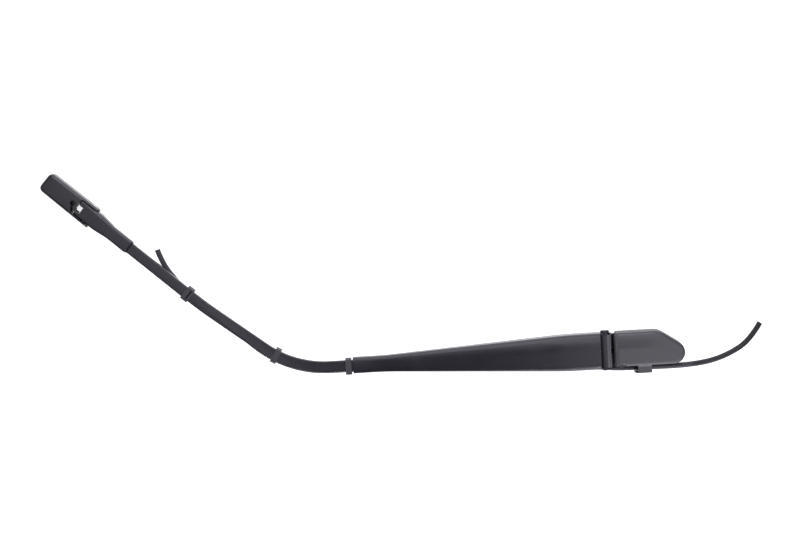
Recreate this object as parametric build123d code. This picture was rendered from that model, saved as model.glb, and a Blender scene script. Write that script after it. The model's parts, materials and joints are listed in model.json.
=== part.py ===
from build123d import *
import os
from math import cos, radians, sin, sqrt, tan

# A car wiper arm: a cast mounting head with a hinged nut cap, a pressed arm channel that holds the
# tension spring, a flat bar with the washer hose clipped under it, a crimped tip fork and a blade adapter.
# All sizes are in millimetres and degrees. The origin is on the spindle axis at the nut seat, +Z points
# away from the glass, the hinge axis runs along Y and the arm reaches towards -X.

# Hinge
hinge_to_spindle = 42.0
hinge_height = 3.0
hinge_pin_radius = 2.25
rivet_head_radius = 3.4
pin_head_radius = 3.6
pin_head_height = 2.0
rivet_head_height = 1.1
rivet_edge_radius = 0.8
bush_wall = 0.95
running_clearance = 0.05
knuckle_radius = 4.8
knuckle_gap = 0.3

# Mounting head
head_depth = 9.0
head_plate = 2.6
head_wall = 2.4
head_to_cap_gap = 0.4
boss_radius = 10.2
stud_hole_radius = 4.2
stud_hole_length = 3.5
taper_top_radius = 5.2
taper_mouth_radius = 6.5
cheek_wall = 3.4
rib_thickness = 1.8

# Nut cap
cap_height = 12.6
cap_wall = 1.6
cap_skirt_depth = 5.0
cap_upper_y = 14.5
cap_lower_y = -12.7
cap_front = 6.3
cap_lip_height = 9.5
cap_side_wall_start = 8.6
cap_shoulder_x = 1.26
cap_slant = 33.4
cap_shoulder_radius = 14.0
cap_nose_radius = 9.2
cap_front_corner_radius = 2.2
cap_edge_radius = 2.6
cap_bead_width = 1.7
cap_groove_width = 1.5
cap_groove_depth = 0.9
cap_ledge_width = 1.3
cap_ledge_top = 9.6
cap_crown_radius = 95.0
cap_pivot_x = 11.7
cap_pivot_height = 7.7
peg_radius = 1.2
peg_length = 2.2
lug_radius = 2.2
lug_thickness = 2.0
lug_base_start = 2.0
lug_base_length = 6.5
pivot_bulge_radius = 2.4
pivot_bulge_height = 0.7
dimple_radius = 0.8
dimple_depth = 1.2
lip_swing_gap = 0.3
neck_bead_radius = 1.0
neck_bead_rise = 0.5

# Hose hook on the cap
hook_start_x = -17.0
hook_length = 11.0
hook_plate = 1.0
hook_tail_length = 2.25
hook_toe_length = 1.75
hook_toe_drop = 1.5
hook_lean = 1.05
hose_gap = 0.35
hose_to_cap_gap = 1.45

# Arm channel
sheet = 1.2
web_end = 4.3
taper_root = 32.0
tip_run = 26.0
taper_blend = 8.0
root_half_width = 14.7
tip_half_width = 6.55
root_top = 10.0
tip_top = 6.2
root_bottom = -3.6
root_corner_radius = 4.5
tip_corner_radius = 2.0
root_crown_angle = 10.0
tip_crown_angle = 8.0
crimp_length = 21.0
crimp_gap = 3.4

# Flat bar
bar_width = 9.0
bar_thickness = 4.0
bar_edge_radius = 0.8
bar_start = 107.8
bar_hole_radius = 2.0
bar_bridge = 2.1
bend_distance = 250.65
bend_angle = 38.2
bend_radius = 84.0
outer_run = 89.6
kink_angle = 4.2
kink_radius = 300.0

# Tip fork, measured along the bar from its second bend
sleeve_start = 74.5
sleeve_length = 18.5
sleeve_wall = 1.0
bar_past_sleeve = 3.0
fork_flare_length = 13.0
fork_straight = 20.0
fork_half_width = 7.0
fork_depth = 9.5
fork_corner_radius = 1.8
fork_notch_width = 5.5
fork_notch_offset = 0.75
fork_notch_depth = 4.0
sleeve_seam = 0.8
sleeve_chamfer = 0.8

# Blade adapter
pivot_setback = 10.0
adapter_pin_radius = 2.0
adapter_side_gap = 0.3
adapter_wall = 1.7
adapter_plate = 1.6
adapter_lip_gap = 0.9
adapter_reach = 33.5
adapter_tip_half_width = 8.4
adapter_corner_radius = 4.0
adapter_edge_radius = 2.6
adapter_bridge = 1.2
bridge_margin = 1.0
bridge_finger = 3.0
bridge_side_gap = 0.4
tongue_length = 1.5
tongue_width = 2.2
tongue_side_gap = 0.4
adapter_rise = 1.2
adapter_height = 11.4
keyhole_radius = 2.2
keyhole_offset = 4.8
keyhole_slot_width = 1.7
keyhole_slot_flare = 3.2
keyhole_slot_lean = 4.1

# Spring, link and anchor pin
anchor_x = 5.0
anchor_drop = 5.5
anchor_pin_radius = 2.0
anchor_pin_grip = 3.2
link_thickness = 2.6
link_strip = 2.6
link_eye_radius = 3.6
link_chord = 23.0
link_belly = 4.7
link_belly_start = 3.2
link_belly_end = 13.0
link_hole_radius = 1.5
link_side_gap = 0.7
spring_radius = 4.5
wire_radius = 0.9
spring_coil_start = 33.0
spring_turns = 32
turn_crest = 0.4
turn_valley = 0.8
near_hook_radius = 2.6
hook_slack = 0.3

# Washer hose
hose_radius = 2.25
hose_bore_radius = 1.25
hose_clearance = 0.25
hose_under_bar = 1.25
hose_floor_gap = 0.05
hose_end_sag = 0.8
hose_bar_overlap = 40.0
hose_turn_share = 0.45
hose_split_after_kink = 1.0
hose_offset = 4.1
hose_leave_share = 0.22
hose_centre_share = 0.67
hose_ear_shift = 0.2
inlet_split_share = 0.5
hinge_split_share = 0.4

# Hose clips
clip_length = 4.8
tip_clip_length = 6.4
root_clip_side = 1.9
outer_clip_side = 1.3
clip_roof = 1.2
clip_shell = 1.2
clip_mouth = 3.0
clip_foot = 0.4
clip_window_width = 1.2
clip_window_length = 8.0
clip_window_offset = 0.9
clip_corner_radius = 1.0
clip_grip_gap = 0.05
root_clip_shift = 0.8
channel_to_clip = 1.3
clip_before_bend = 14.86
bend_clip_turn = 30.6
clip_after_kink = 3.6

# Places that follow from the sizes above
hinge_x = -hinge_to_spindle
channel_inner_half = root_half_width - sheet
knuckle_half_width = channel_inner_half - knuckle_gap
bush_radius = hinge_pin_radius + running_clearance + bush_wall
slot_half_width = link_thickness / 2 + link_side_gap
anchor = (hinge_x + anchor_x, hinge_height - anchor_drop)
cap_front_x = hinge_x + cap_front
cap_nose_x = cap_shoulder_x + (cap_upper_y - cap_lower_y) / tan(radians(cap_slant))
pivot_x = hinge_x + cap_pivot_x
bar_top = tip_top - sheet
bar_bottom = bar_top - bar_thickness
bar_middle = (bar_top + bar_bottom) / 2
tip_bottom = bar_bottom - sheet
hose_z = bar_bottom - hose_under_bar - clip_grip_gap - hose_radius - hose_clearance
bend_point = (hinge_x - bend_distance, 0.0)
bend_start = bend_distance - bend_radius * tan(radians(bend_angle / 2))
root_clip_distance = bend_start - clip_before_bend
channel_tip = root_clip_distance - clip_length / 2 - channel_to_clip
taper_tip = channel_tip - tip_run
kink_point = (bend_point[0] - outer_run * cos(radians(bend_angle)), outer_run * sin(radians(bend_angle)))
kink_run = kink_radius * tan(radians(kink_angle / 2))
tip_clip_distance = kink_run + clip_after_kink
tip_angle = 180.0 - bend_angle - kink_angle
tip_plane = Plane(
    origin=(kink_point[0], kink_point[1], 0),
    x_dir=(cos(radians(tip_angle)), sin(radians(tip_angle)), 0),
    z_dir=(0, 0, 1),
)
sleeve_end = sleeve_start + sleeve_length
bar_in_sleeve = sleeve_end + bar_past_sleeve
fork_full = sleeve_end + fork_flare_length
fork_end = fork_full + fork_straight
adapter_pivot = fork_end - pivot_setback
adapter_tip = fork_end + adapter_reach
adapter_top = bar_top + sleeve_wall + adapter_rise
adapter_bottom = adapter_top - adapter_height
adapter_pin_z = (adapter_top + adapter_bottom) / 2
adapter_half_width = fork_half_width + adapter_side_gap + adapter_wall
hose_side_y = cap_lower_y - hose_radius - hose_to_cap_gap


def on_tip(s, n):
    """A plan point beside the bar's outer end: s along the bar, n towards its outer-bend side."""
    point = tip_plane.from_local_coords((s, -n, 0))
    return point.X, point.Y


def on_outer_run(distance, outside):
    """A plan point beside the bar's outer run, past the bend point and offset to the bend's outside."""
    turn = radians(bend_angle)
    x = bend_point[0] - distance * cos(turn) - outside * sin(turn)
    return x, distance * sin(turn) - outside * cos(turn)


# Route of the washer hose, from its free inlet end to its free outlet end
hose_on_floor = -head_depth + hose_radius + hose_floor_gap
inlet_route = [
    (84.5, 14.2, hose_on_floor),
    (74.8, 1.1, hose_on_floor),
    (58.0, -9.6, hose_on_floor),
    (40.1, -15.5, -6.6),
    (17.4, -17.1, -6.0),
    (-8.0, hose_side_y, -5.3),
]
under_ear = (-38.0, hose_side_y + hose_ear_shift, -6.3)
into_channel = (-62.0, -11.1, -6.3)
beside_spring = (-86.0, -8.6, -4.6)
past_spring = (-132.0, -7.6, -3.0)
towards_bar = (-168.0, -5.4, hose_z)
under_bar = (hinge_x - channel_tip + hose_bar_overlap, -hose_offset, hose_z)
outlet_route = [
    (*on_tip(tip_clip_distance + 4.4, 0.0), hose_z),
    (*on_tip(tip_clip_distance + 15.1, 1.9), hose_z),
    (*on_tip(tip_clip_distance + 30.6, 4.9), hose_z - hose_end_sag),
    (*on_tip(tip_clip_distance + 41.3, 11.7), hose_z - hose_end_sag),
]


def between(a, b, share):
    """The point at a share of the way from a to b."""
    return tuple(p + (q - p) * share for p, q in zip(a, b))


def rod_y(x, z, radius, y0, y1):
    """A round rod along Y."""
    return Pos(x, (y0 + y1) / 2, z) * Rot(90, 0, 0) * Cylinder(radius, y1 - y0)


def block(x0, x1, y0, y1, z0, z1):
    """A box between two corners."""
    return Pos((x0 + x1) / 2, (y0 + y1) / 2, (z0 + z1) / 2) * Box(x1 - x0, y1 - y0, z1 - z0)


def side_prism(sketch, y0, y1):
    """A sketch drawn in X and Z, drawn out along Y."""
    return Pos(0, (y0 + y1) / 2, 0) * extrude(Plane.XZ * sketch, (y1 - y0) / 2, both=True)


# Mounting head
def cap_outline(inset=0.0):
    """Plan of the nut cap, or of what lies inside it by an inset."""
    corners = [
        (cap_front_x, cap_lower_y),
        (cap_nose_x, cap_lower_y),
        (cap_shoulder_x, cap_upper_y),
        (cap_front_x, cap_upper_y),
    ]
    radii = [cap_front_corner_radius, cap_nose_radius, cap_shoulder_radius, cap_front_corner_radius]
    outline = make_face(FilletPolyline(*corners, radius=radii, close=True))
    return offset(outline, -inset, kind=Kind.INTERSECTION) if inset else outline


def head_outline():
    """Plan of the casting: the cap's inside, carried on under the hinge."""
    inset = cap_wall + head_to_cap_gap
    y0 = cap_lower_y + inset
    y1 = cap_upper_y - inset
    joined = Pos((hinge_x + pivot_x) / 2, (y0 + y1) / 2) * Rectangle(pivot_x - hinge_x, y1 - y0)
    return cap_outline(inset) + joined


def lug(y0, y1):
    """A lug that leans back from the cap's pivot to leave room for the lip's swing."""
    base_x = pivot_x + lug_base_start
    eye = Pos(pivot_x, cap_pivot_height) * Circle(lug_radius)
    foot = Pos(base_x + lug_base_length / 2, -head_plate / 2) * Rectangle(lug_base_length, head_plate)
    return side_prism(make_hull(eye.edges() + foot.edges()), y0, y1)


def knuckle_neck():
    """The casting between knuckle and cap: beaded, and hollowed to let the cap's lip swing past."""
    swing = sqrt((pivot_x - cap_front_x) ** 2 + (cap_height - cap_pivot_height) ** 2) + lip_swing_gap
    neck_end = hinge_x + cap_side_wall_start - head_to_cap_gap
    neck_top = hinge_height + knuckle_radius
    neck = block(hinge_x, neck_end, -knuckle_half_width, knuckle_half_width, -head_plate, neck_top)
    bead_x = pivot_x - swing - neck_bead_radius / 2
    bead_z = neck_top + neck_bead_rise - neck_bead_radius
    neck += rod_y(bead_x, bead_z, neck_bead_radius, -knuckle_half_width, knuckle_half_width)
    return neck - rod_y(pivot_x, cap_pivot_height, swing, -2 * knuckle_half_width, 2 * knuckle_half_width)


def mounting_head():
    """The cast head: hinge knuckle, link slot, cap lugs, ribbed underside and taper boss."""
    inset = cap_wall + head_to_cap_gap
    upper_y = cap_upper_y - inset
    lower_y = cap_lower_y + inset
    body = extrude(Pos(0, 0, -head_depth) * head_outline(), head_depth)
    cheek_half = slot_half_width + cheek_wall
    cheek_end = anchor[0] + link_eye_radius + link_side_gap + head_wall
    pocket = extrude(Pos(0, 0, -head_depth) * offset(head_outline(), -head_wall), head_depth - head_plate)
    pocket -= Pos(0, 0, -head_depth / 2) * Cylinder(boss_radius, head_depth)
    pocket -= block(hinge_x - knuckle_radius, cheek_end, -cheek_half, cheek_half, -head_depth, 0)
    for rib_y in (-cheek_half + rib_thickness / 2, cheek_half - rib_thickness / 2):
        pocket -= block(hinge_x, 0, rib_y - rib_thickness / 2, rib_y + rib_thickness / 2, -head_depth, 0)
    body -= pocket
    toe = Polygon(
        (hinge_x - knuckle_radius, -head_depth),
        (anchor[0] - anchor_pin_grip, -head_depth),
        (hinge_x, hinge_height - knuckle_radius),
        (hinge_x - knuckle_radius, hinge_height - knuckle_radius),
        align=None,
    )
    body -= side_prism(toe, -2 * knuckle_half_width, 2 * knuckle_half_width)
    body += rod_y(hinge_x, hinge_height, knuckle_radius, -knuckle_half_width, knuckle_half_width)
    body += knuckle_neck()
    body += lug(upper_y - lug_thickness, upper_y) + lug(lower_y, lower_y + lug_thickness)
    slot_top = hinge_height + hinge_pin_radius + running_clearance + link_side_gap
    slot_end = anchor[0] + link_eye_radius + link_side_gap
    body -= block(hinge_x - 2 * knuckle_radius, slot_end, -slot_half_width, slot_half_width,
                  -2 * head_depth, slot_top)
    body -= rod_y(hinge_x, hinge_height, bush_radius, -2 * knuckle_half_width, 2 * knuckle_half_width)
    body -= rod_y(*anchor, anchor_pin_radius, -cheek_half, cheek_half)
    body -= rod_y(pivot_x, cap_pivot_height, peg_radius + running_clearance, lower_y, upper_y)
    body -= Pos(0, 0, -stud_hole_length / 2) * Cylinder(stud_hole_radius, stud_hole_length)
    taper_length = head_depth - stud_hole_length
    body -= Pos(0, 0, -stud_hole_length - taper_length / 2) * Cone(
        taper_mouth_radius, taper_top_radius, taper_length)
    return body


def spring_anchor_pin():
    """The cross pin that the spring link turns on, pressed into the two cheeks."""
    half = slot_half_width + cheek_wall
    return rod_y(*anchor, anchor_pin_radius, -half, half)


def hinge_bush(side):
    """A plain bush in one half of the knuckle."""
    y0, y1 = sorted((side * slot_half_width, side * knuckle_half_width))
    outer = rod_y(hinge_x, hinge_height, bush_radius, y0, y1)
    return outer - rod_y(hinge_x, hinge_height, hinge_pin_radius + running_clearance, y0, y1)


# Nut cap
def cap_crown(inset):
    """A large barrel that gives the cap's top its cross curve."""
    middle_x = (cap_front_x + cap_nose_x) / 2
    middle_y = (cap_upper_y + cap_lower_y) / 2
    return Pos(middle_x, middle_y, cap_height - cap_crown_radius) * Rot(0, 90, 0) * Cylinder(
        cap_crown_radius - inset, 2 * (cap_nose_x - cap_front_x))


def cap_shell():
    """The moulded shell: crowned top with a beaded lip, a ledge along one side, skirt and the open front."""
    full = cap_height + cap_skirt_depth
    outer = extrude(Pos(0, 0, -cap_skirt_depth) * cap_outline(), full) & cap_crown(0.0)
    outer = fillet(outer.faces().sort_by(Axis.Z)[-1].edges(), cap_edge_radius)
    groove_x = cap_front_x + cap_bead_width
    groove = block(groove_x, groove_x + cap_groove_width, 2 * cap_lower_y, 2 * cap_upper_y, 0, 2 * cap_height)
    outer -= groove - cap_crown(cap_groove_depth)
    outer -= block(2 * cap_front_x, 2 * cap_nose_x, 2 * cap_lower_y, cap_lower_y + cap_ledge_width,
                   cap_ledge_top, 2 * cap_height)
    inner = extrude(Pos(0, 0, -2 * cap_skirt_depth) * cap_outline(cap_wall), full + cap_skirt_depth)
    shell = outer - (inner & cap_crown(cap_wall))
    front = block(cap_front_x - cap_wall, hinge_x + cap_side_wall_start, 2 * cap_lower_y, 2 * cap_upper_y,
                  -2 * cap_skirt_depth, cap_lip_height)
    return shell - front


def hose_hook():
    """The tab on the cap's ledge: a plate over the hose and a long leaning wall down its far side."""
    plate_bottom = cap_ledge_top - hook_plate
    hose_level = inlet_route[-1][2]
    far_y = hose_side_y - hose_radius - hose_gap
    top_y = far_y + hook_lean
    wall_bottom = hose_level - hook_tail_length
    root_y = cap_lower_y + cap_wall / 2
    profile = Polyline(
        (root_y, cap_ledge_top),
        (top_y - hook_plate, cap_ledge_top),
        (far_y - hook_plate, hose_level),
        (far_y - hook_plate, wall_bottom),
        (far_y, wall_bottom),
        (far_y, hose_level),
        (top_y, plate_bottom),
        (root_y, plate_bottom),
        close=True,
    )
    face = make_face(profile)
    outer_corner = face.vertices().sort_by_distance((top_y - hook_plate, cap_ledge_top))[0]
    face = fillet(outer_corner, hook_plate / 2)
    toe_top = plate_bottom - hook_toe_drop
    toe = extrude(Plane.YZ * face, hook_toe_length) & block(
        0, hook_toe_length, far_y - hook_plate, far_y + hook_lean, wall_bottom, toe_top)
    hook = Pos(hook_start_x, 0, 0) * extrude(Plane.YZ * face, hook_length)
    return hook + Pos(hook_start_x - hook_toe_length, 0, 0) * toe


def nut_cap():
    """The hinged cover over the spindle nut, with its pegs, pivot bulges and hose hook."""
    upper_inside = cap_upper_y - cap_wall
    lower_inside = cap_lower_y + cap_wall
    cap = cap_shell() + hose_hook()
    cap += rod_y(pivot_x, cap_pivot_height, peg_radius, upper_inside - peg_length, cap_upper_y - cap_wall / 2)
    cap += rod_y(pivot_x, cap_pivot_height, peg_radius, cap_lower_y + cap_wall / 2, lower_inside + peg_length)
    bulge_y = cap_lower_y - pivot_bulge_height
    cap += rod_y(pivot_x, cap_pivot_height, pivot_bulge_radius, bulge_y, lower_inside)
    dimple = Cylinder(dimple_radius, 2 * dimple_depth)
    return cap - Pos(pivot_x, cap_lower_y + cap_ledge_width, cap_height) * dimple


# Arm channel
def taper_share(distance):
    """How far the channel has grown from its tip section to its root section, with softened ends."""
    span = taper_tip - taper_root
    share = (taper_tip - distance) / span
    blend = taper_blend / span
    if share < -blend:
        return 0.0
    if share < blend:
        return (share + blend) ** 2 / (4 * blend)
    if share < 1 - blend:
        return share
    if share < 1 + blend:
        return 1 - (1 + blend - share) ** 2 / (4 * blend)
    return 1.0


def channel_section(distance, inset, drop):
    """One cross-section of the channel: straight sides, rounded shoulders and a crown tangent to them."""
    share = taper_share(distance)
    half = tip_half_width + (root_half_width - tip_half_width) * share
    top = tip_top + (root_top - tip_top) * share
    bottom = tip_bottom + (root_bottom - tip_bottom) * share - drop
    corner = tip_corner_radius + (root_corner_radius - tip_corner_radius) * share
    crown_angle = radians(tip_crown_angle + (root_crown_angle - tip_crown_angle) * share)
    reach = half - corner
    shoulder_z = top - corner * cos(crown_angle)
    radius = corner - inset
    wall = reach + radius
    apex = shoulder_z - reach / tan(crown_angle) + reach / sin(crown_angle) + radius
    halfway = (radians(90) + crown_angle) / 2
    middle = (reach + radius * sin(halfway), shoulder_z + radius * cos(halfway))
    crest = (reach + radius * sin(crown_angle), shoulder_z + radius * cos(crown_angle))
    edges = [
        Line((-wall, bottom), (-wall, shoulder_z)),
        ThreePointArc((-wall, shoulder_z), (-middle[0], middle[1]), (-crest[0], crest[1])),
        ThreePointArc((-crest[0], crest[1]), (0, apex), crest),
        ThreePointArc(crest, middle, (wall, shoulder_z)),
        Line((wall, shoulder_z), (wall, bottom)),
        Line((wall, bottom), (-wall, bottom)),
    ]
    return Pos(hinge_x - distance, 0, 0) * (Plane.YZ * make_face(Wire(edges)))


def channel_loft(inset, drop, overrun):
    """The channel's outside, or its inside with an overrun past both ends."""
    softened = [taper_root - taper_blend, taper_root, taper_root + taper_blend,
                taper_tip - taper_blend, taper_tip, taper_tip + taper_blend]
    stations = [web_end - overrun, *softened, channel_tip + overrun]
    return loft([channel_section(distance, inset, drop) for distance in stations], ruled=True)


def channel_ear(side):
    """The rounded ear that carries one end of the hinge pin."""
    wall_top = root_top - root_corner_radius
    y0, y1 = sorted((side * channel_inner_half, side * root_half_width))
    eye = Pos(hinge_x, hinge_height) * Circle(knuckle_radius)
    root_x = hinge_x - web_end - knuckle_radius
    wall = Pos(root_x, (wall_top + root_bottom) / 2) * Rectangle(2 * sheet, wall_top - root_bottom)
    return side_prism(make_hull(eye.edges() + wall.edges()), y0, y1)


def arm_channel():
    """The pressed channel, open towards the glass, its tip folded round the bar."""
    channel = channel_loft(0.0, 0.0, 0.0) - channel_loft(sheet, sheet, sheet)
    tip_x = hinge_x - channel_tip
    for side in (-1, 1):
        channel += channel_ear(side)
        y0, y1 = sorted((side * crimp_gap / 2, side * (tip_half_width - sheet / 2)))
        channel += block(tip_x, tip_x + crimp_length, y0, y1, tip_bottom, bar_bottom)
    return channel - rod_y(hinge_x, hinge_height, hinge_pin_radius, -2 * root_half_width, 2 * root_half_width)


def hinge_pin():
    """The hinge pin: a formed head outside the upper ear, riveted over outside the lower one."""
    pin = rod_y(hinge_x, hinge_height, hinge_pin_radius, -root_half_width, root_half_width)
    heads = ((1, pin_head_radius, pin_head_height), (-1, rivet_head_radius, rivet_head_height))
    for side, radius, height in heads:
        y0, y1 = sorted((side * root_half_width, side * (root_half_width + height)))
        head = rod_y(hinge_x, hinge_height, radius, y0, y1)
        rim = head.edges().filter_by(GeomType.CIRCLE).sort_by(Axis.Y)[-1 if side > 0 else 0]
        pin += fillet(rim, rivet_edge_radius)
    return pin


# Flat bar
def bar_path(start, end):
    """Middle line of the flat bar in plan, from a start on its root run to an end on its outer run."""
    return FilletPolyline(start, bend_point, kink_point, end, radius=[bend_radius, kink_radius])


def arm_bar():
    """The flat bar with its in-plane bend and the hole for the spring's hook."""
    path = Pos(0, 0, bar_middle) * bar_path((hinge_x - bar_start, 0.0), on_tip(bar_in_sleeve, 0.0))
    section = Plane(origin=path @ 0, x_dir=(0, 1, 0), z_dir=path % 0) * RectangleRounded(
        bar_width, bar_thickness, bar_edge_radius)
    bar = sweep(section, path)
    hole_x = hinge_x - bar_start - bar_bridge - bar_hole_radius
    return bar - Pos(hole_x, 0, bar_middle) * Cylinder(bar_hole_radius, 2 * bar_thickness)


# Hose clips
def clip_profile(side, shift, ring_y):
    """Section of a clip across the bar: a box round the bar, set off by a shift, and an open hose ring."""
    half = bar_width / 2 + side
    roof = bar_top + clip_grip_gap + clip_roof
    floor = bar_bottom - clip_grip_gap - clip_shell
    ring_radius = hose_radius + hose_clearance
    body = Pos(shift, (roof + floor) / 2) * Rectangle(2 * half, roof - floor)
    body = fillet(body.vertices().group_by(Axis.Y)[-1], clip_corner_radius)
    foot_height = clip_shell
    body += Pos(shift, floor + foot_height / 2) * Rectangle(2 * (half + clip_foot), foot_height)
    body += Pos(ring_y, hose_z) * Circle(ring_radius + clip_shell)
    body -= Pos(0, bar_middle) * Rectangle(bar_width + 2 * clip_grip_gap, bar_thickness + 2 * clip_grip_gap)
    body -= Pos(ring_y, hose_z) * Circle(ring_radius)
    mouth_depth = ring_radius + clip_shell
    return body - Pos(ring_y, hose_z - mouth_depth / 2) * Rectangle(clip_mouth, mouth_depth)


def hose_clip(x, y, heading, profile, length):
    """A clip with its middle at a plan point, square to the bar's heading."""
    along = (cos(radians(heading)), sin(radians(heading)), 0)
    across = Plane(origin=(x, y, 0), x_dir=(-along[1], along[0], 0), z_dir=along)
    return extrude(across * profile, length / 2, both=True)


def hose_clip_root():
    profile = clip_profile(root_clip_side, root_clip_shift, hose_offset)
    return hose_clip(hinge_x - root_clip_distance, 0.0, 180.0, profile, clip_length)


def hose_clip_bend():
    """The clip on the arc, placed by how far the bar has turned there."""
    arc_start = bend_point[0] + bend_radius * tan(radians(bend_angle / 2))
    x = arc_start - bend_radius * sin(radians(bend_clip_turn))
    y = bend_radius * (1 - cos(radians(bend_clip_turn)))
    profile = clip_profile(outer_clip_side, 0.0, hose_offset)
    return hose_clip(x, y, 180.0 - bend_clip_turn, profile, clip_length)


def hose_clip_tip():
    """The longer clip near the hose's outlet, with a window in its roof."""
    profile = clip_profile(outer_clip_side, 0.0, 0.0)
    clip = hose_clip(*on_tip(tip_clip_distance, 0.0), tip_angle, profile, tip_clip_length)
    window_s = tip_clip_distance - clip_window_offset
    half = clip_window_length / 2
    window = block(window_s - clip_window_width / 2, window_s + clip_window_width / 2, -half, half,
                   bar_middle, 2 * tip_top)
    return clip - tip_plane * window


# Tip fork and blade adapter, drawn on the bar's outer end
def fork_section(s, half, bottom, top, corner):
    """A cross-section with rounded upper shoulders."""
    face = Pos(0, (top + bottom) / 2) * Rectangle(2 * half, top - bottom)
    face = fillet(face.vertices().group_by(Axis.Y)[-1], corner)
    return Pos(s, 0, 0) * (Plane.YZ * face)


def arm_tip_fork():
    """Sheet fork: a sleeve crimped on the bar that opens into a channel with a notched end."""
    top = bar_top + sleeve_wall
    sleeve_half = bar_width / 2 + sleeve_wall
    sleeve_bottom = bar_bottom - sleeve_wall
    bottom = top - fork_depth
    outer = loft([
        fork_section(sleeve_start, sleeve_half, sleeve_bottom, top - sleeve_chamfer, fork_corner_radius),
        fork_section(sleeve_start + sleeve_chamfer, sleeve_half, sleeve_bottom, top, fork_corner_radius),
        fork_section(sleeve_end, sleeve_half, sleeve_bottom, top, fork_corner_radius),
        fork_section(fork_full, fork_half_width, bottom, top, fork_corner_radius),
        fork_section(fork_end, fork_half_width, bottom, top, fork_corner_radius),
    ], ruled=True)
    inner_corner = fork_corner_radius - sleeve_wall
    hollow_start = bar_in_sleeve + sleeve_wall
    inner_half = fork_half_width - sleeve_wall
    below = bottom - fork_depth
    hollow = loft([
        fork_section(hollow_start, bar_width / 2, below, bar_top, inner_corner),
        fork_section(fork_full, inner_half, below, bar_top, inner_corner),
        fork_section(fork_end + fork_notch_depth, inner_half, below, bar_top, inner_corner),
    ], ruled=True)
    bar_slot = Pos((sleeve_start + bar_in_sleeve) / 2, 0, bar_middle) * Box(
        bar_in_sleeve - sleeve_start, bar_width, bar_thickness)
    seam = block(sleeve_start, hollow_start, -sleeve_seam / 2, sleeve_seam / 2, below, bar_middle)
    notch = block(fork_end - fork_notch_depth, fork_end, fork_notch_offset - fork_notch_width / 2,
                  fork_notch_offset + fork_notch_width / 2, bar_middle, 2 * top)
    pin_hole = rod_y(adapter_pivot, adapter_pin_z, adapter_pin_radius, -fork_half_width, fork_half_width)
    return tip_plane * (outer - hollow - bar_slot - seam - notch - pin_hole)


def adapter_pivot_pin():
    """The cross pin pressed through the fork, flush with the adapter's sides."""
    pin = rod_y(adapter_pivot, adapter_pin_z, adapter_pin_radius, -adapter_half_width, adapter_half_width)
    return tip_plane * pin


def adapter_plan(inset):
    """Plan of the adapter from its pivot end to its rounded tip."""
    tail = adapter_pivot - adapter_height
    half = adapter_half_width - inset
    tip_half = adapter_tip_half_width - inset
    tip = adapter_tip - inset
    corner = adapter_corner_radius - inset
    points = [(tail, -half), (tip, -tip_half), (tip, tip_half), (tail, half)]
    face = make_face(Polyline(*points, close=True))
    return fillet(face.vertices().group_by(Axis.X)[-1], corner)


def blade_adapter():
    """The moulded adapter: two flanges on the pivot pin, a bridge below the keyhole, a closed tip."""
    body = extrude(Pos(0, 0, adapter_bottom) * adapter_plan(0.0), adapter_height)
    top_edges = body.faces().sort_by(Axis.Z)[-1].edges()
    body = fillet(top_edges.filter_by(Axis.Y, reverse=True), adapter_edge_radius)
    body -= extrude(Pos(0, 0, adapter_bottom) * adapter_plan(adapter_wall), adapter_height - adapter_plate)
    lip = fork_end + adapter_lip_gap
    inner_half = adapter_half_width - adapter_wall
    tail = adapter_pivot - adapter_height
    body -= block(tail, lip, -inner_half, inner_half, adapter_bottom, 2 * adapter_top)
    hole_s = fork_end + keyhole_offset
    bridge_end = hole_s + keyhole_radius + bridge_margin
    body += block(lip, bridge_end, -inner_half, inner_half, adapter_bottom, adapter_bottom + adapter_bridge)
    finger_half = fork_half_width - sleeve_wall - bridge_side_gap
    notch_sides = [fork_notch_offset - fork_notch_width / 2, fork_notch_offset + fork_notch_width / 2]
    for y0, y1 in ((-finger_half, notch_sides[0]), (notch_sides[1], finger_half)):
        body += block(fork_end - bridge_finger, lip, y0, y1, adapter_bottom, adapter_bottom + adapter_bridge)
    tongue_y = notch_sides[1] - tongue_side_gap
    body += block(lip - tongue_length, lip, tongue_y - tongue_width, tongue_y,
                  adapter_top - adapter_plate, adapter_top)
    round_end = Pos(adapter_pivot, adapter_pin_z) * Circle(adapter_height / 2)
    ahead = Pos((adapter_pivot + adapter_tip) / 2, adapter_pin_z) * Rectangle(
        adapter_tip - adapter_pivot, adapter_height)
    body &= side_prism(round_end + ahead, -2 * adapter_half_width, 2 * adapter_half_width)
    body -= rod_y(adapter_pivot, adapter_pin_z, adapter_pin_radius + running_clearance,
                  -2 * adapter_half_width, 2 * adapter_half_width)
    keyhole = Pos(hole_s, 0) * Circle(keyhole_radius)
    slot_end = (hole_s - keyhole_slot_lean, inner_half)
    keyhole += make_face(Polyline(
        (hole_s - keyhole_slot_width / 2, keyhole_radius / 2),
        (slot_end[0] - keyhole_slot_flare / 2, slot_end[1]),
        (slot_end[0] + keyhole_slot_flare / 2, slot_end[1]),
        (hole_s + keyhole_slot_width / 2, keyhole_radius / 2),
        close=True,
    ))
    body -= extrude(Pos(0, 0, adapter_top - 2 * adapter_plate) * keyhole, 3 * adapter_plate)
    return tip_plane * body


# Spring, link and their frame: p from the anchor pin towards the bar's hole, q away from the glass
hook_x = -bar_start - bar_bridge
spring_slope = anchor_drop / (anchor_x - hook_x)
spring_plane = Plane(
    origin=(anchor[0], 0, anchor[1]),
    x_dir=(-1, 0, spring_slope),
    z_dir=(0, 1, 0),
)
spring_length = (anchor_x - hook_x) * sqrt(1 + spring_slope ** 2)


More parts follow.
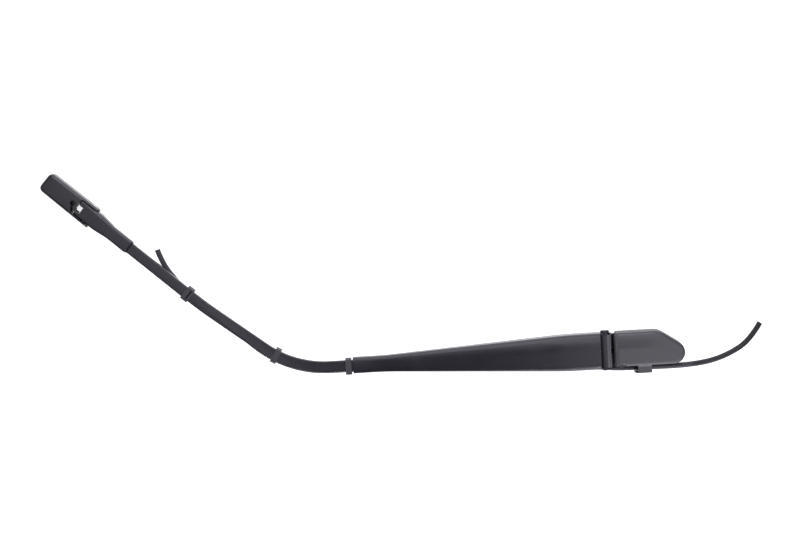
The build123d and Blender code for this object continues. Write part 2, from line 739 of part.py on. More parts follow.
def spring_link():
    """The bowed steel link that passes round the hinge pin when the arm is lifted."""
    path = FilletPolyline(
        (0, 0),
        (link_belly_start, -link_belly),
        (link_belly_end, -link_belly),
        (link_chord, 0),
        radius=link_strip,
    )
    strip = make_face(offset(path, link_strip / 2, side=Side.BOTH))
    end_eye = Pos(link_chord, 0) * Circle(link_hole_radius + link_strip / 2)
    face = strip + Circle(link_eye_radius) + end_eye
    face -= Circle(anchor_pin_radius + running_clearance)
    face -= Pos(link_chord, 0) * Circle(link_hole_radius)
    return extrude(spring_plane * face, link_thickness / 2, both=True)


def spring_coil(start):
    """The close-wound turns as one ridged sleeve, turned about the spring's axis."""
    pitch = 2 * wire_radius
    inner = spring_radius - pitch
    valley = spring_radius - wire_radius * turn_valley
    slope = pitch * (1 - turn_crest) / 2
    points = [(start, inner)]
    for turn in range(spring_turns):
        left = start + turn * pitch
        points += [(left, valley), (left + slope, spring_radius), (left + pitch - slope, spring_radius)]
    end = start + spring_turns * pitch
    points += [(end, valley), (end, inner)]
    return revolve(make_face(Polyline(*points, close=True)), Axis.X)


def tension_spring():
    """The tension spring: its turns, a hook through the link and a hook through the bar's end."""
    coil_end = spring_coil_start + spring_turns * 2 * wire_radius
    near = link_chord + near_hook_radius
    far_radius = bar_bridge / 2 + bar_hole_radius + hook_slack
    far = spring_length - bar_bridge / 2
    spring = spring_coil(spring_coil_start)
    for disc_start in (spring_coil_start, coil_end - 2 * wire_radius):
        spring += Pos(disc_start + wire_radius, 0, 0) * Rot(0, 90, 0) * Cylinder(
            spring_radius - wire_radius, 2 * wire_radius)
    near_end = near + near_hook_radius
    spring += Pos((near_end + spring_coil_start) / 2, 0, 0) * Rot(0, 90, 0) * Cylinder(
        wire_radius, spring_coil_start - near_end)
    far_end = far - far_radius
    spring += Pos((far_end + coil_end) / 2, 0, 0) * Rot(0, 90, 0) * Cylinder(wire_radius, far_end - coil_end)
    spring += Pos(near, 0, 0) * Rot(90, 0, 0) * Torus(near_hook_radius, wire_radius)
    spring += Pos(far, 0, 0) * Torus(far_radius, wire_radius)
    return spring_plane * spring


# Washer hose
def turn_radius(before, at, after):
    """The largest arc that the runs on both sides of a corner leave room for."""
    first = Vector(*at) - Vector(*before)
    second = Vector(*after) - Vector(*at)
    half_turn = radians(first.get_angle(second) / 2)
    return hose_turn_share * min(first.length, second.length) / tan(half_turn)


def hose_tube(points, radii=None):
    """A length of hose along straight runs joined by tangent arcs."""
    if radii is None:
        radii = [turn_radius(*points[i:i + 3]) for i in range(len(points) - 2)]
    path = FilletPolyline(*points, radius=radii)
    section = Plane(origin=path @ 0, z_dir=path % 0) * (Circle(hose_radius) - Circle(hose_bore_radius))
    return sweep(section, path)


inlet_end = between(inlet_route[-1], under_ear, inlet_split_share)
hinge_end = between(beside_spring, past_spring, hinge_split_share)
outlet_start = (*on_tip(kink_run + hose_split_after_kink, 0.0), hose_z)


def hose_inlet():
    """The free inlet end and the stretch held in the cap's hook."""
    return hose_tube([*inlet_route, inlet_end])


def hose_hinge():
    """The stretch that flexes past the hinge into the channel."""
    return hose_tube([inlet_end, under_ear, into_channel, beside_spring, hinge_end])


def hose_arm():
    """The stretch along the channel and under the bar, through the three clips."""
    half_bend = tan(radians(bend_angle / 2))
    bend = (bend_point[0] - hose_offset * half_bend, -hose_offset, hose_z)
    arc_end = bend_radius * half_bend
    free_run = outer_run - kink_run - arc_end
    leaving = (*on_outer_run(arc_end + hose_leave_share * free_run, hose_offset), hose_z)
    centred = (*on_outer_run(arc_end + hose_centre_share * free_run, 0.0), hose_z)
    kink = (*kink_point, hose_z)
    points = [hinge_end, past_spring, towards_bar, under_bar, bend, leaving, centred, kink, outlet_start]
    radii = [turn_radius(*points[i:i + 3]) for i in range(len(points) - 2)]
    radii[points.index(bend) - 1] = bend_radius + hose_offset
    radii[points.index(kink) - 1] = kink_radius
    return hose_tube(points, radii)


def hose_outlet():
    """The free outlet end beside the bar."""
    return hose_tube([outlet_start, *outlet_route])


nodes = {
    "mounting_head": mounting_head,
    "spring_anchor_pin": spring_anchor_pin,
    "hinge_bush_upper": lambda: hinge_bush(1),
    "hinge_bush_lower": lambda: hinge_bush(-1),
    "nut_cap": nut_cap,
    "arm_channel": arm_channel,
    "hinge_pin": hinge_pin,
    "arm_bar": arm_bar,
    "hose_clip_root": hose_clip_root,
    "hose_clip_bend": hose_clip_bend,
    "hose_clip_tip": hose_clip_tip,
    "arm_tip_fork": arm_tip_fork,
    "adapter_pivot_pin": adapter_pivot_pin,
    "blade_adapter": blade_adapter,
    "spring_link": spring_link,
    "tension_spring": tension_spring,
    "hose_inlet": hose_inlet,
    "hose_hinge": hose_hinge,
    "hose_arm": hose_arm,
    "hose_outlet": hose_outlet,
}

os.makedirs("parts", exist_ok=True)
for name, make in nodes.items():
    export_step(make(), f"parts/{name}.step")
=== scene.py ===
import json
from math import cos, pi, radians, sin, sqrt

import bmesh
import bpy
from mathutils import Matrix, Vector

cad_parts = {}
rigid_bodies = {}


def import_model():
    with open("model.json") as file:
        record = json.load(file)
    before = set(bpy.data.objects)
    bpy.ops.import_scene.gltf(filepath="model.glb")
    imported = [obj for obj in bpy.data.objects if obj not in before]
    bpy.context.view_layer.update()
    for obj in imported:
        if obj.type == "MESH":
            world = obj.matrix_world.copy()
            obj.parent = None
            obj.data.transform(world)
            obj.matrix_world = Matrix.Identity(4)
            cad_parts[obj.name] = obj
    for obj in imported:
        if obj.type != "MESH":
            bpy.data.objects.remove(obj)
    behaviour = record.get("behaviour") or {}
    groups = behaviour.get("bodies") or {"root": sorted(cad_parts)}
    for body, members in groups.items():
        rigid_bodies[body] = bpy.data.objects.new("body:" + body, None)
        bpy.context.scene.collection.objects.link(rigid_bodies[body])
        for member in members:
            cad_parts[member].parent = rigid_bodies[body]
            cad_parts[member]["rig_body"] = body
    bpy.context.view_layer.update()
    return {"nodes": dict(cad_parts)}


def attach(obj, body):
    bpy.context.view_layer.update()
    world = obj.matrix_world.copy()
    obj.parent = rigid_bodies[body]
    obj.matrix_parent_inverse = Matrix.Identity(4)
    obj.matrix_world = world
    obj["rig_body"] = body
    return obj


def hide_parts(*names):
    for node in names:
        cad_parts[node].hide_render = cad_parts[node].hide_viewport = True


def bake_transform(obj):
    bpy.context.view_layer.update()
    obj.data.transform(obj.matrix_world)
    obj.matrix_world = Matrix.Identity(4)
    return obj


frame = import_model()
nodes = frame["nodes"]

# Sizes shared by the pieces below, in metres; sleeve_mouth and clip_window are millimetres along the tip
mm = 0.001
hinge = Vector((-42.0, 0.0, 3.0)) * mm
anchor = Vector((-37.0, 0.0, -2.5)) * mm
hose_radius = 2.25 * mm
hose_bore = 1.25 * mm
wire_radius = 0.9 * mm
coil_radius = 3.6 * mm
coil_start = 33.0 * mm
coil_turns = 32
near_loop = 25.6 * mm
near_loop_radius = 2.6 * mm
far_loop_radius = 3.35 * mm
spring_rise = 5.5 / 114.9
spring_length = 114.9 * sqrt(1 + spring_rise ** 2) * mm
bar_bridge = 2.1 * mm
tip_bend = Vector((-363.063, 55.41, 0.0)) * mm
tip_along = Vector((-0.73846, 0.6743, 0.0))
tip_across = Vector((0.6743, 0.73846, 0.0))
sleeve_mouth = 74.1
clip_window = 13.7
# Offset and hole sizes of the dark sheets that stand for painted shadow in the link's slot
shadow_sheet_offset = 1.72 * mm
shadow_sheet_hinge_hole = 2.4 * mm
shadow_sheet_anchor_hole = 2.1 * mm
floor_height = -9.0 * mm
camera_distance = 1.6
view_width = 0.64104
view_centre = (-0.20281, 0.07677, 0)
light_tint = (0.97, 0.96, 1.06)


# Shader node groups that the finishes share
def node_group(name, inputs, outputs):
    """An empty shader group with its named sockets, and its input and output nodes."""
    group = bpy.data.node_groups.new(name, "ShaderNodeTree")
    for label, kind, value in inputs:
        group.interface.new_socket(label, in_out="INPUT", socket_type=kind).default_value = value
    for label, kind in outputs:
        group.interface.new_socket(label, in_out="OUTPUT", socket_type=kind)
    return group, group.nodes.new("NodeGroupInput").outputs, group.nodes.new("NodeGroupOutput").inputs


def put(tree, kind, links, **settings):
    """Add a node, set its properties and feed its sockets with values or with other sockets."""
    node = tree.nodes.new(kind)
    for key, value in settings.items():
        setattr(node, key, value)
    for key, value in links.items():
        if isinstance(value, bpy.types.NodeSocket):
            tree.links.new(value, node.inputs[key])
        else:
            node.inputs[key].default_value = value
    return node


def math(tree, operation, first, second):
    return put(tree, "ShaderNodeMath", {0: first, 1: second}, operation=operation).outputs[0]


def noise(tree, place, scale, detail=2.0):
    links = {"Vector": place, "Scale": scale, "Detail": detail}
    return put(tree, "ShaderNodeTexNoise", links).outputs["Fac"]


def coat_peel_group():
    """Powder coat: a soft orange-peel height with a finer pitting, and a slow change of gloss and shade."""
    group, given, out = node_group(
        "coat_peel",
        [("Peel Scale", "NodeSocketFloat", 900.0), ("Pit Scale", "NodeSocketFloat", 3200.0),
         ("Gloss Low", "NodeSocketFloat", 0.3), ("Gloss High", "NodeSocketFloat", 0.4),
         ("Shade", "NodeSocketColor", (0.02, 0.02, 0.022, 1)),
         ("Shade Far", "NodeSocketColor", (0.03, 0.03, 0.033, 1))],
        [("Height", "NodeSocketFloat"), ("Roughness", "NodeSocketFloat"), ("Colour", "NodeSocketColor")])
    place = put(group, "ShaderNodeTexCoord", {}).outputs["Object"]
    peel = noise(group, place, given["Peel Scale"])
    pits = noise(group, place, given["Pit Scale"], 1.0)
    slow = noise(group, place, 38.0, 4.0)
    height = math(group, "ADD", math(group, "MULTIPLY", peel, 0.7), math(group, "MULTIPLY", pits, 0.3))
    group.links.new(height, out["Height"])
    gloss = put(group, "ShaderNodeMapRange", {"Value": slow, "From Min": 0.35, "From Max": 0.65,
                                              "To Min": given["Gloss Low"], "To Max": given["Gloss High"]})
    group.links.new(gloss.outputs["Result"], out["Roughness"])
    shades = {"Factor": slow, "A": given["Shade"], "B": given["Shade Far"]}
    tone = put(group, "ShaderNodeMix", shades, data_type="RGBA")
    group.links.new(tone.outputs["Result"], out["Colour"])
    return group


def ledge_highlight_group():
    """One on the upward face of the ledge along the nut cap's lower side, where a painted highlight goes,
    nought elsewhere.
    """
    group, given, out = node_group(
        "ledge_highlight_share",
        [("Side", "NodeSocketFloat", -11.3 * mm), ("Edge", "NodeSocketFloat", -13.6 * mm),
         ("Left", "NodeSocketFloat", -26.0 * mm), ("Top", "NodeSocketFloat", 9.9 * mm)],
        [("Share", "NodeSocketFloat")])
    local = put(group, "ShaderNodeTexCoord", {}).outputs
    split = put(group, "ShaderNodeSeparateXYZ", {"Vector": local["Object"]}).outputs
    facing = put(group, "ShaderNodeSeparateXYZ", {"Vector": local["Normal"]}).outputs["Z"]
    turned_up = {"Value": facing, "From Min": 0.25, "From Max": 0.6}
    upward = put(group, "ShaderNodeMapRange", turned_up).outputs["Result"]
    beside = math(group, "LESS_THAN", split["Y"], given["Side"])
    inside = math(group, "GREATER_THAN", split["Y"], given["Edge"])
    below = math(group, "LESS_THAN", split["Z"], given["Top"])
    past_left = math(group, "GREATER_THAN", split["X"], given["Left"])
    strip = math(group, "MULTIPLY", math(group, "MULTIPLY", beside, inside), past_left)
    strip = math(group, "MULTIPLY", strip, upward)
    group.links.new(math(group, "MULTIPLY", strip, below), out["Share"])
    return group


def shading_band_group():
    """How far a point lies in a band across the arm, above the band's foot, from 0 to 1; it places the
    painted highlights and painted shade below.
    """
    group, given, out = node_group(
        "shading_band_share",
        [("Start", "NodeSocketFloat", 0.0), ("End", "NodeSocketFloat", 1.0),
         ("Foot", "NodeSocketFloat", 0.0), ("Blur", "NodeSocketFloat", 1.0)],
        [("Share", "NodeSocketFloat")])
    place = put(group, "ShaderNodeTexCoord", {}).outputs["Object"]
    split = put(group, "ShaderNodeSeparateXYZ", {"Vector": place}).outputs
    past_start = math(group, "SUBTRACT", split["X"], given["Start"])
    before_end = math(group, "SUBTRACT", given["End"], split["X"])
    inside = math(group, "DIVIDE", math(group, "MINIMUM", past_start, before_end), given["Blur"])
    clamped = put(group, "ShaderNodeClamp", {"Value": inside}).outputs["Result"]
    above = math(group, "GREATER_THAN", split["Z"], given["Foot"])
    group.links.new(math(group, "MULTIPLY", clamped, above), out["Share"])
    return group


def dimple_shadow_group():
    """One inside the small blind hole over the cap's lower pivot peg, where painted shadow goes, nought
    elsewhere.
    """
    group, given, out = node_group(
        "dimple_shadow_share",
        [("Middle", "NodeSocketVector", (-30.3 * mm, -11.4 * mm, 0.0)),
         ("Radius", "NodeSocketFloat", 0.85 * mm)],
        [("Share", "NodeSocketFloat")])
    place = put(group, "ShaderNodeTexCoord", {}).outputs["Object"]
    flat = put(group, "ShaderNodeVectorMath", {0: place, 1: (1, 1, 0)}, operation="MULTIPLY")
    reach = {0: flat.outputs["Vector"], 1: given["Middle"]}
    far = put(group, "ShaderNodeVectorMath", reach, operation="DISTANCE").outputs["Value"]
    group.links.new(math(group, "LESS_THAN", far, given["Radius"]), out["Share"])
    return group


coat_peel = coat_peel_group()
ledge_highlight_share = ledge_highlight_group()
shading_band_share = shading_band_group()
dimple_shadow_share = dimple_shadow_group()


def finish(name, shader):
    """A material whose Principled shader has these constants, with its tree and that shader."""
    material = bpy.data.materials.new(name)
    material.use_nodes = True
    bsdf = material.node_tree.nodes["Principled BSDF"]
    for key, value in shader.items():
        bsdf.inputs[key].default_value = value
    return material, material.node_tree, bsdf


def coated(name, shade, shade_far, gloss, depth, peel_scale, pit_scale, shader):
    """A finish built on the peel group: colour, gloss and height with their own values."""
    material, tree, bsdf = finish(name, shader)
    peel = put(tree, "ShaderNodeGroup", {}, node_tree=coat_peel)
    for key, value in {"Peel Scale": peel_scale, "Pit Scale": pit_scale, "Gloss Low": gloss[0],
                       "Gloss High": gloss[1], "Shade": (*shade, 1), "Shade Far": (*shade_far, 1)}.items():
        peel.inputs[key].default_value = value
    relief = {"Height": peel.outputs["Height"], "Strength": 0.35, "Distance": depth}
    bump = put(tree, "ShaderNodeBump", relief)
    tree.links.new(peel.outputs["Colour"], bsdf.inputs["Base Color"])
    tree.links.new(peel.outputs["Roughness"], bsdf.inputs["Roughness"])
    tree.links.new(bump.outputs["Normal"], bsdf.inputs["Normal"])
    return material


def shade_part(material, share_group, shade, **band):
    """Give the part of a finish that the group picks out a shade of its own, here always a painted
    highlight or painted shade.
    """
    tree = material.node_tree
    base = tree.nodes["Principled BSDF"].inputs["Base Color"]
    grain = base.links[0].from_socket
    share = put(tree, "ShaderNodeGroup", band, node_tree=share_group).outputs["Share"]
    mixed = put(tree, "ShaderNodeMix", {"Factor": share, "A": grain, "B": (*shade, 1)}, data_type="RGBA")
    tree.links.new(mixed.outputs["Result"], base)


def dull_rims(material, level, rim_level):
    """Let the sheen of a grained moulding fade where its surface turns away."""
    tree = material.node_tree
    turned = put(tree, "ShaderNodeLayerWeight", {"Blend": 0.5}).outputs["Facing"]
    sheen = put(tree, "ShaderNodeMapRange", {"Value": turned, "From Min": 0.08, "From Max": 0.4,
                                             "To Min": level, "To Max": rim_level})
    tree.links.new(sheen.outputs["Result"], tree.nodes["Principled BSDF"].inputs["Specular IOR Level"])


arm_coat = coated("satin_arm_coat", (0.0100, 0.0098, 0.0138), (0.0124, 0.0121, 0.0168), (0.19, 0.25),
                  0.05 * mm, 900, 3200, {})
head_coat = coated("satin_head_coat", (0.0125, 0.0125, 0.017), (0.0165, 0.0165, 0.0215), (0.38, 0.48),
                   0.1 * mm, 700, 2600, {})
# Painted highlight: a paler band over the head's knuckle neck and the hollow behind it, standing for the
# lit stripe beside the hinge
shade_part(head_coat, shading_band_share, (0.08, 0.079, 0.085),
           Start=-41.0 * mm, End=-36.4 * mm, Foot=1.5 * mm, Blur=0.5 * mm)
cap_grain = coated("cap_grain", (0.040, 0.0396, 0.043), (0.046, 0.0456, 0.049), (0.34, 0.42),
                   0.05 * mm, 2200, 5200, {})
# Painted highlight: a pale strip on the upward face of the cap's lower ledge
shade_part(cap_grain, ledge_highlight_share, (0.17, 0.169, 0.178))
# Painted shadow: near black inside the blind hole over the lower pivot peg
shade_part(cap_grain, dimple_shadow_share, (0.004, 0.004, 0.005))
dull_rims(cap_grain, 0.62, 0.1)
clip_grain = coated("clip_grain", (0.03, 0.03, 0.035), (0.036, 0.036, 0.041), (0.45, 0.55),
                    0.05 * mm, 2200, 5200, {})
adapter_grain = coated("adapter_grain", (0.011, 0.011, 0.0135), (0.014, 0.014, 0.017), (0.25, 0.32),
                       0.05 * mm, 2000, 5200, {})
hose_rubber = coated("hose_rubber", (0.024, 0.024, 0.028), (0.030, 0.030, 0.034), (0.4, 0.52),
                     0.04 * mm, 1500, 4200, {"Specular IOR Level": 0.35})
# Painted highlight: a paler stretch of hose beside the cap
shade_part(hose_rubber, shading_band_share, (0.042, 0.042, 0.047),
           Start=-6.0 * mm, End=30.0 * mm, Foot=-20.0 * mm, Blur=5.0 * mm)
# Painted shade: a darker hose tail beyond the cap
shade_part(hose_rubber, shading_band_share, (0.007, 0.007, 0.009),
           Start=26.0 * mm, End=100.0 * mm, Foot=-20.0 * mm, Blur=5.0 * mm)
zinc_steel = coated("zinc_steel", (0.42, 0.42, 0.43), (0.5, 0.5, 0.51), (0.28, 0.42),
                    0.03 * mm, 1400, 4200, {"Metallic": 1.0})
spring_steel = coated("spring_steel", (0.3, 0.3, 0.31), (0.38, 0.38, 0.39), (0.26, 0.38),
                      0.02 * mm, 1400, 4200, {"Metallic": 1.0})
oiled_steel = coated("oiled_steel", (0.035, 0.034, 0.033), (0.05, 0.048, 0.046), (0.42, 0.55),
                     0.03 * mm, 1400, 4200, {"Metallic": 1.0})
# Near-black matte finish of the beads that stand for painted shadow
shadow_black_matte = coated("shadow_black_matte", (0.004, 0.004, 0.0045), (0.006, 0.006, 0.0065), (0.7, 0.8),
                     0.04 * mm, 1500, 4200, {"Specular IOR Level": 0.2})
bush_bronze = coated("bush_bronze", (0.42, 0.3, 0.15), (0.5, 0.37, 0.2), (0.35, 0.5),
                     0.05 * mm, 2400, 5200, {"Metallic": 1.0})

# The finish of each part and the width of its broken edges in millimetres
finishes = {
    "mounting_head": (head_coat, 0.45),
    "spring_anchor_pin": (oiled_steel, 0.2),
    "hinge_bush_upper": (bush_bronze, 0.12),
    "hinge_bush_lower": (bush_bronze, 0.12),
    "nut_cap": (cap_grain, 0.25),
    "arm_channel": (arm_coat, 0.22),
    "hinge_pin": (arm_coat, 0.1),
    "arm_bar": (arm_coat, 0.15),
    "hose_clip_root": (clip_grain, 0.25),
    "hose_clip_bend": (clip_grain, 0.25),
    "hose_clip_tip": (clip_grain, 0.25),
    "arm_tip_fork": (arm_coat, 0.2),
    "adapter_pivot_pin": (zinc_steel, 0.25),
    "blade_adapter": (adapter_grain, 0.25),
    "spring_link": (oiled_steel, 0.25),
}


def add_piece(name, data, material):
    piece = bpy.data.objects.new(name, data)
    bpy.context.scene.collection.objects.link(piece)
    piece.data.materials.clear()
    piece.data.materials.append(material)
    return piece


def smooth(mesh, angle):
    mesh.polygons.foreach_set("use_smooth", [True] * len(mesh.polygons))
    mesh.set_sharp_from_angle(angle=radians(angle))


def edged_copy(node, material, width):
    """The part with its sharp edges broken, standing for the plain solid."""
    mesh = bpy.data.meshes.new(node + "_edged")
    shape = bmesh.new()
    shape.from_mesh(nodes[node].data)
    bmesh.ops.remove_doubles(shape, verts=shape.verts, dist=0.002 * mm)
    bmesh.ops.dissolve_limit(shape, angle_limit=radians(0.6), verts=shape.verts, edges=shape.edges)
    shape.to_mesh(mesh)
    shape.free()
    smooth(mesh, 28)
    piece = add_piece(node + "_edged", mesh, material)
    rounding = piece.modifiers.new("broken_edges", "BEVEL")
    rounding.width = width * mm
    rounding.segments = 2
    rounding.limit_method = "ANGLE"
    rounding.angle_limit = radians(32)
    rounding.harden_normals = True
    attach(piece, nodes[node]["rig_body"])
    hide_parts(node)
    return piece


for node, (material, width) in finishes.items():
    edged_copy(node, material, width)


# Washer hose
def in_row(points):
    return [Vector(point) * mm for point in points]


inlet_route = in_row([
    (84.5, 14.2, -6.7), (75.7, 0.2, -6.7), (58.3, -10.15, -6.7), (40.1, -15.5, -6.6), (17.4, -17.1, -6.0),
    (-8.0, -16.4, -5.3), (-23.0, -16.3, -5.8)])
hinge_route = in_row([
    (-23.0, -16.3, -5.8), (-38.0, -16.2, -6.3), (-62.0, -11.1, -6.3), (-86.0, -8.6, -4.6),
    (-104.4, -8.2, -3.96)])
arm_route = in_row([
    (-104.4, -8.2, -3.96), (-132.0, -7.6, -3.0), (-168.0, -5.4, -2.8), (-205.0, -4.1, -2.8),
    (-240.0, -4.1, -2.8), (-270.92, -4.1, -2.8), (-285.43, -1.66, -2.8), (-299.34, 3.16, -2.8),
    (-312.26, 10.21, -2.8), (-326.6, 21.5, -2.8), (-341.58, 38.5, -2.8), (-363.06, 55.41, -2.8),
    (-371.925, 63.502, -2.8)])
outlet_route = in_row([
    (-371.925, 63.502, -2.8), (-377.094, 68.222, -2.8), (-383.2, 76.5, -2.8), (-392.4, 89.3, -3.6),
    (-396.454, 101.743, -3.6)])


def smooth_line(name, route):
    """A curve of one open spline with the route's points as its control points."""
    curve = bpy.data.curves.new(name, "CURVE")
    curve.dimensions = "3D"
    line = curve.splines.new("NURBS")
    line.points.add(len(route) - 1)
    for point, place in zip(line.points, route):
        point.co = (*place, 1.0)
    line.order_u = 3
    line.use_endpoint_u = True
    line.resolution_u = 14
    return curve


def hose(name, route):
    curve = smooth_line(name, route)
    curve.bevel_depth = hose_radius
    curve.bevel_resolution = 6
    piece = add_piece(name, curve, hose_rubber)
    wall = piece.modifiers.new("hose_wall", "SOLIDIFY")
    wall.thickness = hose_radius - hose_bore
    wall.offset = -1.0
    return piece


def as_mesh(curve_piece):
    """Turn a curve piece into a mesh piece of the same name."""
    bpy.context.view_layer.update()
    depsgraph = bpy.context.evaluated_depsgraph_get()
    mesh = bpy.data.meshes.new_from_object(curve_piece.evaluated_get(depsgraph))
    name = curve_piece.name
    material = curve_piece.data.materials[0]
    bpy.data.objects.remove(curve_piece)
    smooth(mesh, 50)
    return add_piece(name, mesh, material)


inlet_hose = hose("hose_inlet_tail", inlet_route)
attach(inlet_hose, "head")
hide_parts("hose_inlet")

outlet_hose = hose("hose_outlet_tail", outlet_route)
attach(outlet_hose, "arm")
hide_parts("hose_outlet")

arm_hose = as_mesh(hose("hose_along_arm", arm_route))
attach(arm_hose, "arm")
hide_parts("hose_arm")

hinge_hose = as_mesh(hose("hose_past_hinge", hinge_route))
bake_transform(hinge_hose)
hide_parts("hose_hinge")


# Tension spring: p along its axis from the anchor pin, q away from the glass, w along the hinge
along = Vector((-1.0, 0.0, spring_rise)).normalized()
lift = Vector((spring_rise, 0.0, 1.0)).normalized()
side = Vector((0.0, 1.0, 0.0))


def on_spring(p, q, w):
    return anchor + along * p + lift * q + side * w


def wire(name, route, radius):
    curve = smooth_line(name, route)
    curve.splines[0].resolution_u = 3
    curve.bevel_depth = radius
    curve.bevel_resolution = 3
    curve.use_fill_caps = True
    piece = as_mesh(add_piece(name, curve, spring_steel))
    return piece


def coil_route():
    """The near loop through the link's hole, the close-wound turns and the drawn-in last turn."""
    route = [on_spring(near_loop + near_loop_radius * cos(turn), 0, near_loop_radius * sin(turn))
             for turn in (radians(step) for step in range(50, 271, 20))]
    route += [on_spring(28.5 * mm, 0, -near_loop_radius), on_spring(31.0 * mm, 0, -0.9 * coil_radius)]
    steps = 12
    pitch = 2 * wire_radius
    for step in range(coil_turns * steps + 1):
        turn = 2 * pi * step / steps - pi / 2
        left = max(0, step - (coil_turns - 1) * steps) / steps
        reach = coil_radius * (1 - left ** 2)
        route.append(on_spring(coil_start + pitch * step / steps, reach * cos(turn), reach * sin(turn)))
    end = coil_start + pitch * coil_turns
    return route + [on_spring(end + 3 * mm, 0, 0), on_spring(end + 7 * mm, 0, 0)]


def far_hook_route():
    """The far hook: a straight shank that slides in the last turn and a loop through the bar's hole."""
    centre = spring_length - bar_bridge / 2
    shank = coil_start + 2 * wire_radius * coil_turns
    route = [on_spring(shank + 2 * mm, 0, 0), on_spring(shank + 8 * mm, 0, 0),
             on_spring(centre - 6.5 * mm, 0, 0), on_spring(centre - 4.4 * mm, 0.4 * mm, 0)]
    return route + [on_spring(centre + far_loop_radius * cos(turn), far_loop_radius * sin(turn), 0)
                    for turn in (radians(step) for step in range(140, -151, -20))]


coil = wire("spring_coil", coil_route(), wire_radius)
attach(coil, "spring_set")
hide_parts("tension_spring")
far_hook = wire("spring_far_hook", far_hook_route(), 0.97 * wire_radius)
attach(far_hook, "arm")


# Small dark parts that stand for painted shadow: sheets on the walls of the spring link's slot, a bead at
# the sleeve's mouth, a strip in the clip's window
def slot_shadow_sheet(name, y):
    """A dark sheet on one wall of the link's slot that stands for painted shadow there, with holes for the
    hinge pin and the anchor pin.
    """
    outline = [(-32.9, -8.7), (-33.0, 0.0), (-36.6, 3.0), (-37.9, 5.8), (-45.7, 5.8), (-46.5, 4.2),
               (-46.65, 3.0), (-46.5, 1.8), (-45.9, 0.4), (-44.8, -0.9), (-43.3, -1.6), (-42.0, -1.7),
               (-40.1, -8.7)]
    rings = [[Vector(point) * mm for point in outline]]
    for middle, radius in ((hinge, shadow_sheet_hinge_hole), (anchor, shadow_sheet_anchor_hole)):
        turns = [2 * pi * step / 32 for step in range(32)]
        rings.append([Vector((middle.x + radius * cos(t), middle.z + radius * sin(t))) for t in turns])
    curve = bpy.data.curves.new(name, "CURVE")
    curve.dimensions = "2D"
    curve.fill_mode = "BOTH"
    curve.extrude = 0.2 * mm
    curve.bevel_depth = 0.05 * mm
    for ring in rings:
        line = curve.splines.new("POLY")
        line.points.add(len(ring) - 1)
        for point, place in zip(line.points, ring):
            point.co = (*place, 0.0, 1.0)
        line.use_cyclic_u = True
    piece = as_mesh(add_piece(name, curve, clip_grain))
    piece.data.transform(Matrix.Translation((0, y, 0)) @ Matrix.Rotation(radians(90), 4, "X"))
    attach(piece, "head")


def on_tip(s, n, z):
    """A point beside the bar's outer end: s along the bar from its second bend, n across it."""
    return tip_bend + tip_along * (s * mm) + tip_across * (n * mm) + Vector((0, 0, z * mm))


def shadow_bead(name, route, radius, closed):
    """A round near-black bead along a route on the arm, standing for painted shadow."""
    curve = smooth_line(name, route)
    curve.splines[0].use_cyclic_u = closed
    curve.bevel_depth = radius * mm
    curve.bevel_resolution = 3
    curve.use_fill_caps = True
    piece = as_mesh(add_piece(name, curve, shadow_black_matte))
    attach(piece, "arm")


slot_shadow_sheet("slot_shadow_sheet_upper", shadow_sheet_offset)
slot_shadow_sheet("slot_shadow_sheet_lower", -shadow_sheet_offset)
# Painted shadow: a near-black bead round the sleeve's mouth stands for the dark gap there
sleeve_shadow_ring = [(4.6, 1.2), (4.6, 4.3), (3.9, 5.0), (-3.9, 5.0),
             (-4.6, 4.3), (-4.6, 1.2), (-3.9, 0.9), (3.9, 0.9)]
shadow_bead("sleeve_mouth_shadow", [on_tip(sleeve_mouth, n, z) for n, z in sleeve_shadow_ring], 0.6, True)
# Painted shadow: a near-black strip in the clip's window stands for the shade at its bottom
clip_shadow_line = [(n, 5.2) for n in (-4.2, -2.0, 0.0, 2.0, 4.2)]
shadow_bead("clip_window_shadow", [on_tip(clip_window, n, z) for n, z in clip_shadow_line], 0.5, False)


# Floor, light and camera
def build_floor():
    """A pale sheet that looks white, falls dark deep under the arm and is clear from below."""
    mesh = bpy.data.meshes.new("floor")
    shape = bmesh.new()
    bmesh.ops.create_grid(shape, x_segments=2, y_segments=2, size=6.0)
    shape.to_mesh(mesh)
    shape.free()
    material, tree, bsdf = finish("pale_floor", {"Roughness": 0.9, "Base Color": (0.85, 0.85, 0.85, 1)})
    bsdf.inputs["Specular IOR Level"].default_value = 0.0
    bsdf.inputs["Emission Color"].default_value = (1, 1, 1, 1)
    open_share = put(tree, "ShaderNodeAmbientOcclusion", {"Distance": 30 * mm}, samples=8).outputs["AO"]
    shadow = {"Value": open_share, "From Min": 0.03, "From Max": 0.18, "To Max": 0.85}
    glow = put(tree, "ShaderNodeMapRange", shadow)
    tree.links.new(glow.outputs["Result"], bsdf.inputs["Emission Strength"])
    below = put(tree, "ShaderNodeNewGeometry", {}).outputs["Backfacing"]
    clear = put(tree, "ShaderNodeBsdfTransparent", {}).outputs["BSDF"]
    sheet = put(tree, "ShaderNodeMixShader", {0: below, 1: bsdf.outputs["BSDF"], 2: clear})
    tree.links.new(sheet.outputs["Shader"], tree.nodes["Material Output"].inputs["Surface"])
    floor = add_piece("floor", mesh, material)
    floor.location.z = floor_height - 0.05 * mm


def soft_light(name, place, target, size, power):
    """A soft box that faces its target, with its first side kept along the arm."""
    light = bpy.data.lights.new(name, "AREA")
    light.shape = "RECTANGLE"
    light.size, light.size_y = size
    light.energy = power
    light.color = light_tint
    back = (Vector(place) - Vector(target)).normalized()
    right = (Vector((1, 0, 0)) - back * back.x).normalized()
    lamp = bpy.data.objects.new(name, light)
    turned = Matrix((right, back.cross(right), back)).transposed().to_4x4()
    turned.translation = Vector(place)
    lamp.matrix_world = turned
    lamp.visible_camera = False
    bpy.context.scene.collection.objects.link(lamp)


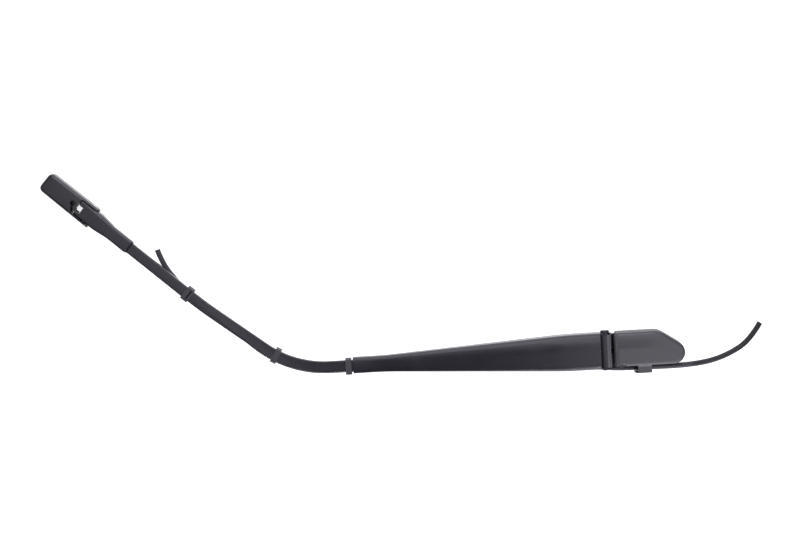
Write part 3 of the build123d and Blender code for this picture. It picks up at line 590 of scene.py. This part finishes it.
def build_world():
    """Studio surround: dim overhead, lighter towards the horizon, plain white where it is seen directly."""
    world = bpy.data.worlds.new("studio")
    world.use_nodes = True
    tree = world.node_tree
    ray = put(tree, "ShaderNodeTexCoord", {}).outputs["Generated"]
    height = put(tree, "ShaderNodeSeparateXYZ", {"Vector": ray}).outputs["Z"]
    surround = put(tree, "ShaderNodeValToRGB", {"Fac": height})
    stops = surround.color_ramp.elements
    stops[0].position, stops[0].color = 0.0, (0.32, 0.32, 0.34, 1)
    stops[1].position, stops[1].color = 1.0, (0.07, 0.07, 0.076, 1)
    for position, shade in ((0.22, 0.26), (0.42, 0.09), (0.7, 0.12), (0.9, 0.09)):
        stops.new(position).color = (shade, shade, 1.08 * shade, 1)
    seen = put(tree, "ShaderNodeLightPath", {}).outputs["Is Camera Ray"]
    mixed = put(tree, "ShaderNodeMix", {"Factor": seen, "A": surround.outputs["Color"], "B": (1, 1, 1, 1)},
                data_type="RGBA")
    tree.links.new(mixed.outputs["Result"], tree.nodes["Background"].inputs["Color"])
    bpy.context.scene.world = world


def build_light():
    """Soft boxes overhead with a dark gap between them, two behind and two small ones in front."""
    build_world()
    soft_light("left_light", (-0.41, 0.1, 1.0), (-0.41, 0.1, 0), (0.1, 0.9), 0.48)
    soft_light("left_wide_light", (-0.56, 0.1, 1.0), (-0.56, 0.1, 0), (0.2, 0.9), 0.4)
    soft_light("far_left_light", (-1.01, 0.1, 1.0), (-0.8, 0.1, 0), (0.7, 0.9), 1.3)
    soft_light("right_light", (0.41, -0.2, 1.0), (0.3, -0.1, 0), (0.8, 0.9), 3.1)
    soft_light("right_fill", (-0.06, -0.35, 1.0), (-0.06, -0.2, 0), (0.14, 0.55), 0.12)
    soft_light("back_light", (-0.19, 0.64, 0.58), (-0.19, 0.115, 0), (0.64, 1.34), 6.2)
    soft_light("corner_light", (0.25, 0.95, 0.55), (-0.45, 0.14, 0), (0.3, 0.5), 2.2)
    soft_light("front_light", (0.22, -0.8, 0.6), (0, 0, 0), (0.3, 0.3), 4.5)
    soft_light("front_low_light", (0.12, -1.1, 0.2), (0.02, 0, 0), (0.5, 0.25), 2.4)


def build_camera():
    """The photograph's view: nearly straight down, leaning a little to the arm's far side."""
    tilt = radians(6)
    turn = radians(-3.36342)
    right = Vector((cos(turn), sin(turn), 0))
    ahead = Vector((-sin(turn), cos(turn), 0))
    back = ahead * sin(tilt) + Vector((0, 0, 1)) * cos(tilt)
    camera = bpy.data.objects.new("camera", bpy.data.cameras.new("camera"))
    camera.data.sensor_width = 36
    camera.data.lens = camera.data.sensor_width * camera_distance / view_width
    camera.data.clip_end = 20
    turned = Matrix((right, back.cross(right), back)).transposed().to_4x4()
    turned.translation = Vector(view_centre) + back * camera_distance
    camera.matrix_world = turned
    bpy.context.scene.collection.objects.link(camera)
    bpy.context.scene.camera = camera


build_floor()
build_light()
build_camera()
bpy.context.scene.view_settings.view_transform = "Standard"
